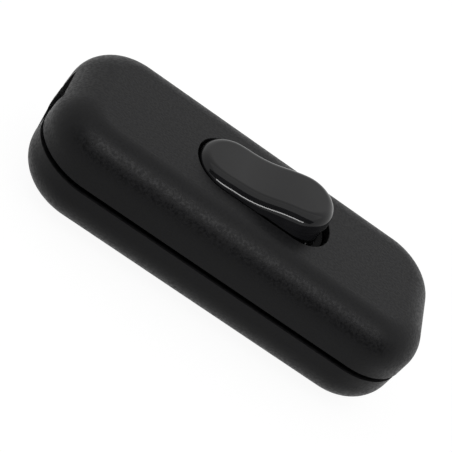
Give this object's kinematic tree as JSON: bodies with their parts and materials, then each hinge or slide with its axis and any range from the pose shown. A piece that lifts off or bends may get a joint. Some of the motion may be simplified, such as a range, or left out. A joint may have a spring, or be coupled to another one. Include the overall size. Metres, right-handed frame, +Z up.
{
  "type": "inline cord switch",
  "caption": "Inline rocker switch for a lamp cord: a rounded two-part moulded housing with a cable entry in each end and a tilting rocker on top.",
  "frame": {"origin": "middle of the flat underside of the base", "axes": "+X along the cord towards the raised end of the rocker, +Z up through the rocker, +Y across"},
  "size_m": [0.07, 0.0302, 0.0223],
  "materials": {
    "housing_plastic": "fine-textured matte black moulding",
    "rocker_plastic": "polished black moulding",
    "nylon": "natural nylon",
    "grip_plastic": "plain black moulding",
    "spring_steel": "drawn spring wire",
    "zinc_steel": "zinc-plated steel",
    "brass": "stamped and milled brass",
    "contact_silver": "silver contact alloy"
  },
  "bodies": {
    "housing": {"lower_housing": "housing_plastic", "upper_housing": "housing_plastic", "fixed_contact": "contact_silver", "line_in_terminal": "brass", "line_out_terminal": "brass", "neutral_link": "brass", "terminal_block_line_in": "brass", "terminal_block_line_out": "brass", "terminal_block_neutral_in": "brass", "terminal_block_neutral_out": "brass", "terminal_screws": "zinc_steel", "cord_grip_left": "grip_plastic", "cord_grip_right": "grip_plastic", "cord_grip_screws": "zinc_steel", "housing_screws": "zinc_steel"},
    "rocker": {"rocker": "rocker_plastic", "plunger_spring": "spring_steel"},
    "plunger": {"plunger": "nylon"},
    "bridge": {"contact_bridge": "brass", "moving_contact": "contact_silver"}
  },
  "joints": [
    {"name": "rocker_hinge", "type": "hinge", "parent": "housing", "child": "rocker", "pos_m": [0, 0, 0.0149], "axis": [0, 1, 0], "range_deg": [0, 21.6]},
    {"name": "bridge_hinge", "type": "hinge", "parent": "housing", "child": "bridge", "pos_m": [0, 0, 0.0068], "axis": [0, 1, 0], "range_deg": [-17, 0]},
    {"name": "plunger_slide", "type": "slide", "parent": "rocker", "child": "plunger", "axis": [-0.1874, 0, 0.9823], "range_m": [0, 0.0006], "stiffness_N_per_m": 400, "springref_m": -0.001, "deforming": ["plunger_spring"]}
  ],
  "couplings": [
    {"joint": "bridge_hinge", "follows": "rocker_hinge", "ratio": -0.78704}
  ]
}
